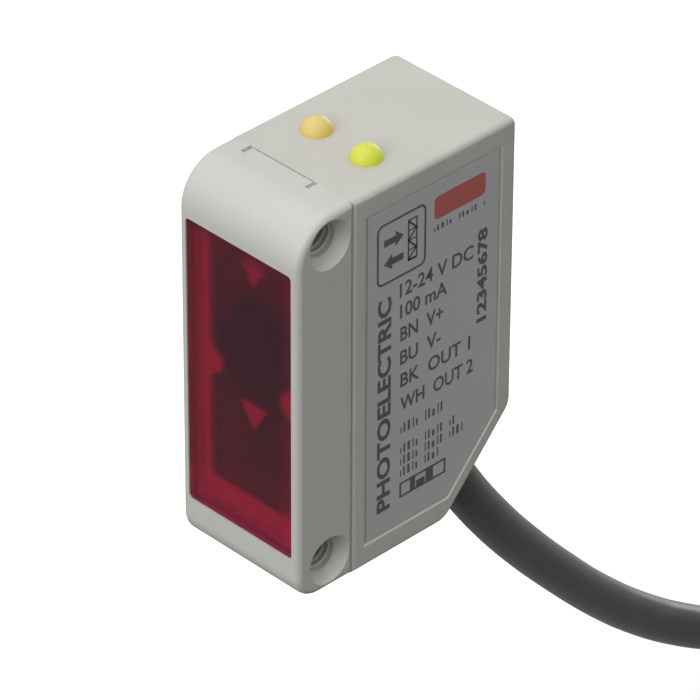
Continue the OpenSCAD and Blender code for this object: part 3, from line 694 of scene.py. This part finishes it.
def make_thread(name, height, material):
    """Screw thread that winds along a mounting hole: a triangular crest on the bore's wall."""
    bm = bmesh.new()
    steps = int(2 * THREAD_HALF / THREAD_PITCH * THREAD_SIDES)
    rings = []
    for k in range(steps + 1):
        a = 2 * math.pi * k / THREAD_SIDES
        x = -THREAD_HALF + 2 * THREAD_HALF * k / steps
        ring = []
        for rise, along in THREAD_CREST:
            r = BORE_R + rise
            place = (x + along * THREAD_PITCH, r * math.cos(a), height + r * math.sin(a))
            ring.append(bm.verts.new(place))
        rings.append(ring)
    for low, high in zip(rings, rings[1:]):
        for j in range(len(THREAD_CREST)):
            n = (j + 1) % len(THREAD_CREST)
            bm.faces.new((low[j], low[n], high[n], high[j]))
    bm.faces.new(rings[0])
    bm.faces.new(rings[-1][::-1])
    bmesh.ops.recalc_face_normals(bm, faces=bm.faces)
    mesh = bpy.data.meshes.new(name)
    bm.to_mesh(mesh)
    bm.free()
    return add_object(name, mesh, material, BODY, "frame_plastic")


# ---------------------------------------------------------------- label print

# Print is laid out in millimetres from the body's front lower corner: y to the rear, z up.
INK_T = 0.01 * MM
FINE_LINE = 0.17
BOLD = 0.032
MEDIUM = 0.016
# Boxes are (y low, z low, y high, z high), here with the radius of the corners
PICTOGRAM_BOX = (7.2, 22.2, 11.75, 27.05, 0.55)
TARGET_BOX = (10.05, 23.1, 10.95, 26.4, 0.05)
RED_BLOCK = (12.5, 25.2, 17.3, 27.0, 0.4)
# Arrows: y of the tail, y of the tip, z
ARROWS = [(7.85, 9.65, 25.45), (9.65, 7.85, 23.8)]
ARROW_HALF = 0.26
ARROW_HEAD_HALF = 0.6
ARROW_HEAD_L = 0.75
# Hatching of the target: its two sides, lowest stroke, step and count, and the widths of its lines
HATCH_SIDES = (10.1, 10.85)
HATCH_Z = 23.2
HATCH_STEP = 0.77
HATCH_COUNT = 4
TARGET_LINE = 0.14
SLANT_LINE = 0.16
RUNG_LINE = 0.11
# Lines of text: y, z and width; then text up the side: y, z, length and height
TEXT_LINES = [
    ("12-24 V DC", 9.35, 20.5, 6.9), ("100 mA", 9.4, 18.8, 4.4), ("BN  V+", 9.45, 16.95, 4.0),
    ("BU  V-", 9.45, 15.05, 3.8), ("BK  OUT 1", 9.5, 13.2, 6.6), ("WH  OUT 2", 9.5, 11.25, 6.9),
]
TEXT_H = 1.15
SIDE_TEXT = [("PHOTOELECTRIC", 8.6, 3.8, 17.3, 1.27), ("12345678", 17.6, 15.0, 7.5, 0.95)]
# Small print: y, z, width and height
SMALL_LINES = [
    (9.55, 9.4, 4.0, 0.8), (9.55, 7.75, 5.1, 0.72), (9.55, 6.8, 5.9, 0.72), (9.55, 5.85, 3.6, 0.72),
    (12.5, 24.3, 4.9, 0.45),
]
# Plain marks at the foot of the label: the corners of their frame, and the bars in it
MARKS_BOX = [(9.5, 4.1), (13.9, 4.1), (13.9, 5.35), (9.5, 5.35)]
MARKS = [(10.5, 4.25, 11.0, 5.2), (11.1, 4.25, 11.9, 4.8), (12.0, 4.25, 12.7, 5.2)]
# Strokes of the small print: least pitch, growth of the pitch, gap, inked part, lower height, and how
# many of them, with the space, make a word
STROKE_PITCH = 0.16
STROKE_GROWTH = 0.1
STROKE_GAP = 0.13
STROKE_INK = 0.6
STROKE_LOW = 0.7
WORD_STROKES = 6
# Letters: steps of their curves, half their thickness in the font's units
LETTER_STEPS = 3
LETTER_HALF = 0.5
# The most that a line's corner is drawn out, as the cosine of half its turn
CORNER_LIMIT = 0.5


def label_point(y, z, lift=0.0):
    """A place on the label's face, from its layout in millimetres."""
    return Vector((LABEL_X + lift, FRONT_Y + y * MM, BOTTOM_Z + z * MM))


def add_prism(bm, outline):
    """A thin printed shape with the given outline on the label."""
    low = [bm.verts.new(label_point(y, z)) for y, z in outline]
    high = [bm.verts.new(label_point(y, z, INK_T)) for y, z in outline]
    bm.faces.new(high)
    bm.faces.new(low[::-1])
    count = len(outline)
    for i in range(count):
        n = (i + 1) % count
        bm.faces.new((low[i], low[n], high[n], high[i]))


def add_bar(bm, y0, z0, y1, z1):
    """A printed rectangle."""
    add_prism(bm, [(y0, z0), (y1, z0), (y1, z1), (y0, z1)])


def rounded(y0, z0, y1, z1, r, steps=5):
    """Outline of a rectangle with round corners."""
    corners = [(y1 - r, z1 - r, 0), (y0 + r, z1 - r, 90), (y0 + r, z0 + r, 180), (y1 - r, z0 + r, 270)]
    line = []
    for cy, cz, start in corners:
        for k in range(steps + 1):
            a = math.radians(start + 90 * k / steps)
            line.append((cy + r * math.cos(a), cz + r * math.sin(a)))
    return line


def add_loop(bm, outline, width):
    """A printed line of even width along a closed outline, on its inner side."""
    count = len(outline)
    points = [Vector(p) for p in outline]
    inner = []
    for i in range(count):
        before = (points[i] - points[i - 1]).normalized()
        after = (points[(i + 1) % count] - points[i]).normalized()
        side = Vector((-(before.y + after.y), before.x + after.x)).normalized()
        turn = max(CORNER_LIMIT, side.dot(Vector((-before.y, before.x))))
        inner.append(points[i] + side * (width / turn))
    for i in range(count):
        n = (i + 1) % count
        add_prism(bm, [tuple(points[i]), tuple(points[n]), tuple(inner[n]), tuple(inner[i])])


def add_stroke(bm, start, end, width):
    """A straight printed line."""
    a, b = Vector(start), Vector(end)
    along = (b - a).normalized()
    side = Vector((-along.y, along.x)) * (width / 2)
    add_prism(bm, [tuple(a - side), tuple(b - side), tuple(b + side), tuple(a + side)])


def add_text(bm, text, y, z, width, height, bold, upright=True):
    """Plain lettering fitted to a box on the label; upright text reads towards the rear."""
    curve = bpy.data.curves.new("letters", "FONT")
    curve.body = text
    curve.offset = bold
    curve.resolution_u = LETTER_STEPS
    curve.extrude = LETTER_HALF
    letters = bpy.data.objects.new("letters", curve)
    bpy.context.scene.collection.objects.link(letters)
    graph = bpy.context.evaluated_depsgraph_get()
    mesh = bpy.data.meshes.new_from_object(letters.evaluated_get(graph))
    xs = [v.co.x for v in mesh.vertices]
    ys = [v.co.y for v in mesh.vertices]
    for v in mesh.vertices:
        across = (v.co.x - min(xs)) / (max(xs) - min(xs)) * width
        rise = (v.co.y - min(ys)) / (max(ys) - min(ys)) * height
        lift = (v.co.z + LETTER_HALF) * INK_T
        v.co = label_point(y + across, z + rise, lift) if upright else label_point(
            y - rise, z + across, lift
        )
    bm.from_mesh(mesh)
    bpy.data.objects.remove(letters)
    bpy.data.curves.remove(curve)
    bpy.data.meshes.remove(mesh)


def add_arrow(bm, y0, y1, z):
    """A block arrow from y0 to y1 at height z."""
    way = 1 if y1 > y0 else -1
    neck = y1 - way * ARROW_HEAD_L
    outline = [
        (y0, z - ARROW_HALF), (neck, z - ARROW_HALF), (neck, z - ARROW_HEAD_HALF), (y1, z),
        (neck, z + ARROW_HEAD_HALF), (neck, z + ARROW_HALF), (y0, z + ARROW_HALF),
    ]
    add_prism(bm, outline if way > 0 else outline[::-1])


def add_small_print(bm, y, z, width, height):
    """A line of small print as short unreadable strokes, in words of five."""
    start, k = y, 0
    while start < y + width:
        pitch = STROKE_PITCH + STROKE_GROWTH * (k % 3)
        if (k + 1) % WORD_STROKES:
            top = z + height * (1.0 if k % 4 else STROKE_LOW)
            add_bar(bm, start, z, start + STROKE_INK * pitch, top)
        start += pitch + STROKE_GAP
        k += 1


def print_piece(name, bm, material):
    """Turns the printed shapes into a piece on the housing, in the given material."""
    bmesh.ops.recalc_face_normals(bm, faces=bm.faces)
    mesh = bpy.data.meshes.new(name)
    bm.to_mesh(mesh)
    bm.free()
    return add_object(name, mesh, material, BODY, "label_film")


def make_label_print(materials):
    """Generic print: a light-path pictogram, ratings, core colours, small print and a plain block."""
    bm = bmesh.new()
    add_loop(bm, rounded(*PICTOGRAM_BOX), FINE_LINE)
    for arrow in ARROWS:
        add_arrow(bm, *arrow)
    add_loop(bm, rounded(*TARGET_BOX, 1), TARGET_LINE)
    for k in range(HATCH_COUNT):
        low = HATCH_Z + HATCH_STEP * k
        start, end = HATCH_SIDES if k % 2 == 0 else HATCH_SIDES[::-1]
        add_stroke(bm, (start, low), (end, low + HATCH_STEP), SLANT_LINE)
        add_stroke(bm, (HATCH_SIDES[0], low), (HATCH_SIDES[1], low), RUNG_LINE)
    for text, y, z, width in TEXT_LINES:
        add_text(bm, text, y, z, width, TEXT_H, MEDIUM)
    for text, y, z, length, height in SIDE_TEXT:
        add_text(bm, text, y, z, length, height, BOLD, upright=False)
    for line in SMALL_LINES:
        add_small_print(bm, *line)
    add_loop(bm, MARKS_BOX, FINE_LINE)
    for mark in MARKS:
        add_bar(bm, *mark)
    print_piece("label_print", bm, materials["label_ink"])
    bm = bmesh.new()
    add_prism(bm, rounded(*RED_BLOCK))
    print_piece("label_block", bm, materials["label_red"])


# ---------------------------------------------------------------- ties

TIE_W = 2.5 * MM
TIE_T = 0.5 * MM
TIE_CORNER = 2.1 * MM
TIE_STEPS = 6
# The head on top of the bundle, and the cut end that stands out of it to one side
TIE_HEAD = Vector((3.6, 3.2, 2.6)) * MM
TIE_CUT = Vector((1.6, 2.2, 0.9)) * MM
TIE_CUT_X = 2.3 * MM
TIE_CUT_Z = 1.1 * MM
TIE_BREAK = 0.3 * MM
# The strap's outer edges are eased by these parts of its thickness and its width
TIE_EASE_T = 0.2
TIE_EASE_W = 0.08


def tie_outline(half_x, half_z, r):
    """Rounded rectangle in the XZ plane around the middle of a bundle."""
    line = []
    for sx, sz, start in ((1, 1, 0), (-1, 1, 90), (-1, -1, 180), (1, -1, 270)):
        for k in range(TIE_STEPS + 1):
            a = math.radians(start + 90 * k / TIE_STEPS)
            line.append((sx * (half_x - r) + r * math.cos(a), sz * (half_z - r) + r * math.sin(a)))
    return line


def add_block(bm, place, size):
    """A block with softened edges; it is made in a mesh of its own, so that its order never varies."""
    block = bmesh.new()
    bmesh.ops.create_cube(block, size=1.0)
    for v in block.verts:
        v.co = Vector(v.co[i] * size[i] for i in range(3)) + place
    bmesh.ops.bevel(
        block, geom=block.edges[:], offset=TIE_BREAK, offset_type="OFFSET", segments=EDGE_STEPS,
        profile=0.5, affect="EDGES", clamp_overlap=True,
    )
    mesh = bpy.data.meshes.new("block")
    block.to_mesh(mesh)
    block.free()
    bm.from_mesh(mesh)
    bpy.data.meshes.remove(mesh)


def make_ties(materials):
    """Nylon ties round the two straight bundles, each with its head and cut end on top."""
    bm = bmesh.new()
    middle_y = HANK_Y + RUN_LENGTH / 2
    bundle_x = CABLE_D
    bundle_z = LAYERS * CABLE_D / 2
    centre_z = HANK_Z + bundle_z
    for side in (-1, 1):
        centre_x = HANK_X + side * (FOLD_R + CABLE_D / 2)
        outer = tie_outline(bundle_x + TIE_T, bundle_z + TIE_T, TIE_CORNER)
        inner = tie_outline(bundle_x, bundle_z, TIE_CORNER - TIE_T)
        ease = TIE_EASE_T * TIE_T
        soft = tie_outline(bundle_x + TIE_T - ease, bundle_z + TIE_T - ease, TIE_CORNER - ease)
        flat = 0.5 - TIE_EASE_W
        section = [
            (inner, -0.5), (soft, -0.5), (outer, -flat), (outer, flat), (soft, 0.5), (inner, 0.5)
        ]
        loops = [
            [bm.verts.new((centre_x + x, middle_y + w * TIE_W, centre_z + z)) for x, z in line]
            for line, w in section
        ]
        for i, loop in enumerate(loops):
            other = loops[(i + 1) % len(loops)]
            for j in range(len(loop)):
                n = (j + 1) % len(loop)
                bm.faces.new((loop[j], loop[n], other[n], other[j]))
        top = centre_z + bundle_z + TIE_T
        for place, size in (
            (Vector((centre_x, middle_y, top + TIE_HEAD.z / 2)), TIE_HEAD),
            (Vector((centre_x + TIE_CUT_X, middle_y, top + TIE_CUT_Z)), TIE_CUT),
        ):
            add_block(bm, place, size)
    for face in bm.faces:
        face.smooth = True
    bmesh.ops.recalc_face_normals(bm, faces=bm.faces)
    for e in bm.edges:
        e.smooth = e.calc_face_angle(0.0) < SHARP
    mesh = bpy.data.meshes.new("cable_ties")
    bm.to_mesh(mesh)
    bm.free()
    return add_object("cable_ties", mesh, materials["tie_black"], BODY, "tie_black", "hank_ties")


# ---------------------------------------------------------------- build

bpy.context.scene.view_settings.view_transform = "Standard"
make_camera()
make_world()
make_floor()
for light in LIGHTS:
    make_light(*light)
MATERIALS = make_materials()
make_cords(MATERIALS)

SLOTS = {part["node"]: part["material_slot"] for part in frame["record"]["subparts"]}
REFINED = (
    "rear_housing", "front_frame", "front_window", "amber_light_pipe", "green_light_pipe",
    "cable_grommet", "emitter_lens", "receiver_lens",
)
for node in REFINED:
    refine(node, MATERIALS, SLOTS[node], BODY, 0.0 if node == "front_window" else EDGE_BREAK)
refine("trimmer_rotor", MATERIALS, SLOTS["trimmer_rotor"], TRIMMER)
for name, height in (("upper_thread", HOLE_SPACING / 2), ("lower_thread", -HOLE_SPACING / 2)):
    make_thread(name, height, MATERIALS["frame_plastic"])
make_label_print(MATERIALS)

for part in frame["record"]["subparts"]:
    shown = NODES[part["node"]]
    shown.data.materials.clear()
    shown.data.materials.append(MATERIALS[part["material_slot"]])
